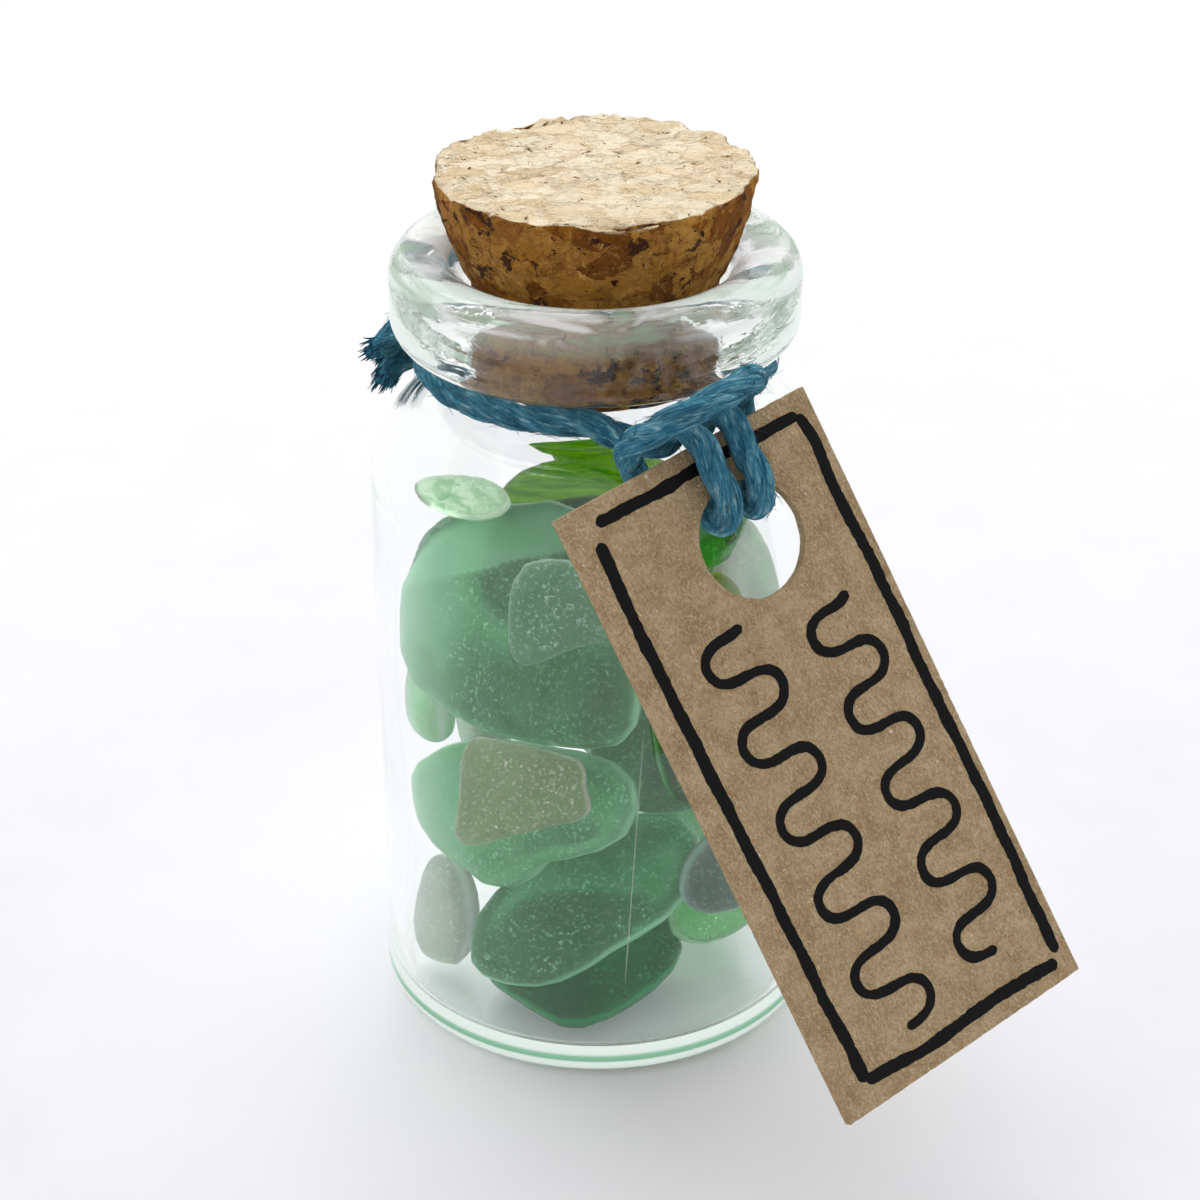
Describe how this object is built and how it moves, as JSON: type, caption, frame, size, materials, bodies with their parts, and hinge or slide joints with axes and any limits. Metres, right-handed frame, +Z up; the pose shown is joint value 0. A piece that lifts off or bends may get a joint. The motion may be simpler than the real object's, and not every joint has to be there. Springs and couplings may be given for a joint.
{
  "type": "bottle of sea glass",
  "caption": "Small corked glass bottle filled with frosted sea glass chips, with a kraft card tag tied round its neck with blue twine.",
  "frame": {"origin": "centre of the bottle's flat base, on the surface it stands on", "axes": "+Z up along the bottle's axis, -Y toward the front that the picture shows, +X to that view's right"},
  "size_m": [0.0336, 0.0373, 0.0437],
  "materials": {
    "clear_glass": "clear, polished",
    "cork": "matte pressed cork granules",
    "blue_twine": "matte twisted cotton",
    "kraft_card": "matte uncoated kraft",
    "dark_emerald_chip": "frosted, tumbled by the sea",
    "bright_green_chip": "frosted, tumbled by the sea",
    "pale_grey_chip": "frosted, tumbled by the sea",
    "floor_chip": "frosted, tumbled by the sea",
    "lavender_chip": "frosted, tumbled by the sea",
    "lower_lobed_chip": "frosted, tumbled by the sea",
    "left_back_chip": "frosted, tumbled by the sea",
    "heart_chip": "frosted, tumbled by the sea",
    "right_back_chip": "frosted, tumbled by the sea",
    "grey_green_chip": "frosted, tumbled by the sea",
    "olive_chip": "frosted, tumbled by the sea",
    "dark_sliver": "frosted, tumbled by the sea",
    "left_pale_chip": "frosted, tumbled by the sea",
    "middle_back_chip": "frosted, tumbled by the sea",
    "big_frosted_chip": "frosted, tumbled by the sea",
    "pale_front_chip": "frosted, tumbled by the sea",
    "right_chip": "frosted, tumbled by the sea",
    "emerald_back_chip": "frosted, tumbled by the sea",
    "grey_white_chip": "frosted, tumbled by the sea",
    "olive_sliver": "frosted, tumbled by the sea",
    "hole_green_chip": "frosted, tumbled by the sea",
    "lime_top_chip": "frosted, tumbled by the sea",
    "pale_top_shard": "frosted, tumbled by the sea"
  },
  "bodies": {
    "bottle": {"glass_bottle": "clear_glass", "neck_twine": "blue_twine", "dark_emerald_chip": "dark_emerald_chip", "bright_green_chip": "bright_green_chip", "pale_grey_chip": "pale_grey_chip", "floor_chip": "floor_chip", "lavender_chip": "lavender_chip", "lower_lobed_chip": "lower_lobed_chip", "left_back_chip": "left_back_chip", "heart_chip": "heart_chip", "right_back_chip": "right_back_chip", "grey_green_chip": "grey_green_chip", "olive_chip": "olive_chip", "dark_sliver": "dark_sliver", "left_pale_chip": "left_pale_chip", "middle_back_chip": "middle_back_chip", "big_frosted_chip": "big_frosted_chip", "pale_front_chip": "pale_front_chip", "right_chip": "right_chip", "emerald_back_chip": "emerald_back_chip", "grey_white_chip": "grey_white_chip", "olive_sliver": "olive_sliver", "hole_green_chip": "hole_green_chip", "lime_top_chip": "lime_top_chip", "pale_top_shard": "pale_top_shard"},
    "cork": {"cork_stopper": "cork"},
    "tag": {"tag_card": "kraft_card"}
  },
  "joints": [
    {"name": "cork_pull", "type": "slide", "parent": "bottle", "child": "cork", "axis": [0, 0, 1], "range_m": [0, 0.015]},
    {"name": "tag_swing", "type": "hinge", "parent": "bottle", "child": "tag", "pos_m": [0.0064, -0.01234, 0.03157], "axis": [0.4308, -0.7492, 0.503], "range_deg": [-6, 6]}
  ]
}
